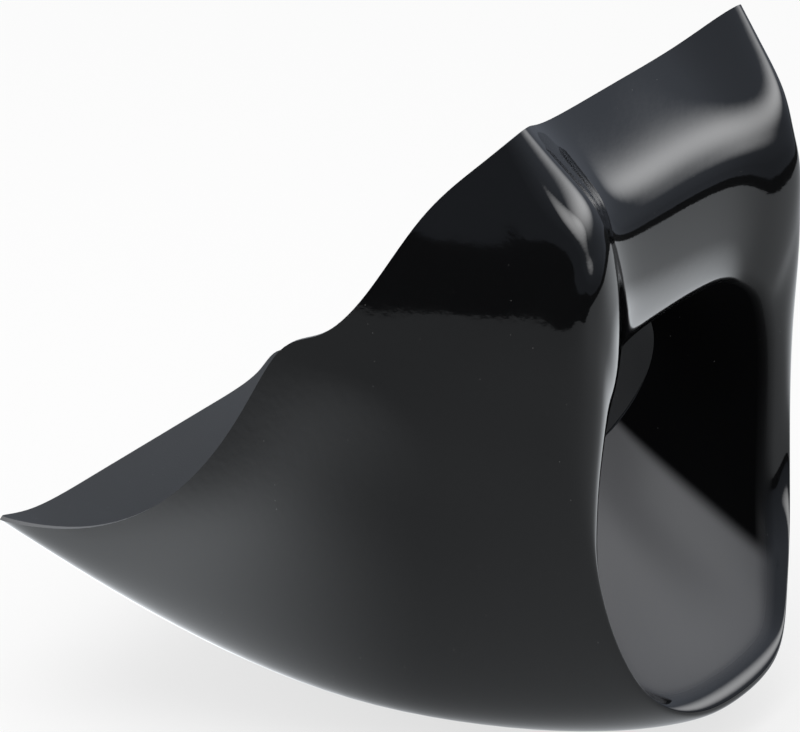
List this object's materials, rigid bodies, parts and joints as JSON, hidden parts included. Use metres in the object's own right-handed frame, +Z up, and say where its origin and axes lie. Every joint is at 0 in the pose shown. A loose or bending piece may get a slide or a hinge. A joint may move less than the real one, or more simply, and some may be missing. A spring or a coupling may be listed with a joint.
{
  "type": "motorcycle chin spoiler",
  "caption": "One-piece moulded chin spoiler for a motorcycle frame: open trough with stepped sides, leaning visor between two horns and a scooped air mouth.",
  "frame": {"origin": "under the middle of the part's bounding box, at its lowest point", "axes": "+Z up, -Y to the front where the air mouth is, X across the bike"},
  "size_m": [0.3298, 0.3962, 0.3897],
  "materials": {
    "shell": "gloss outside, satin inside"
  },
  "bodies": {
    "root": {"spoiler_shell": "shell"}
  },
  "joints": []
}
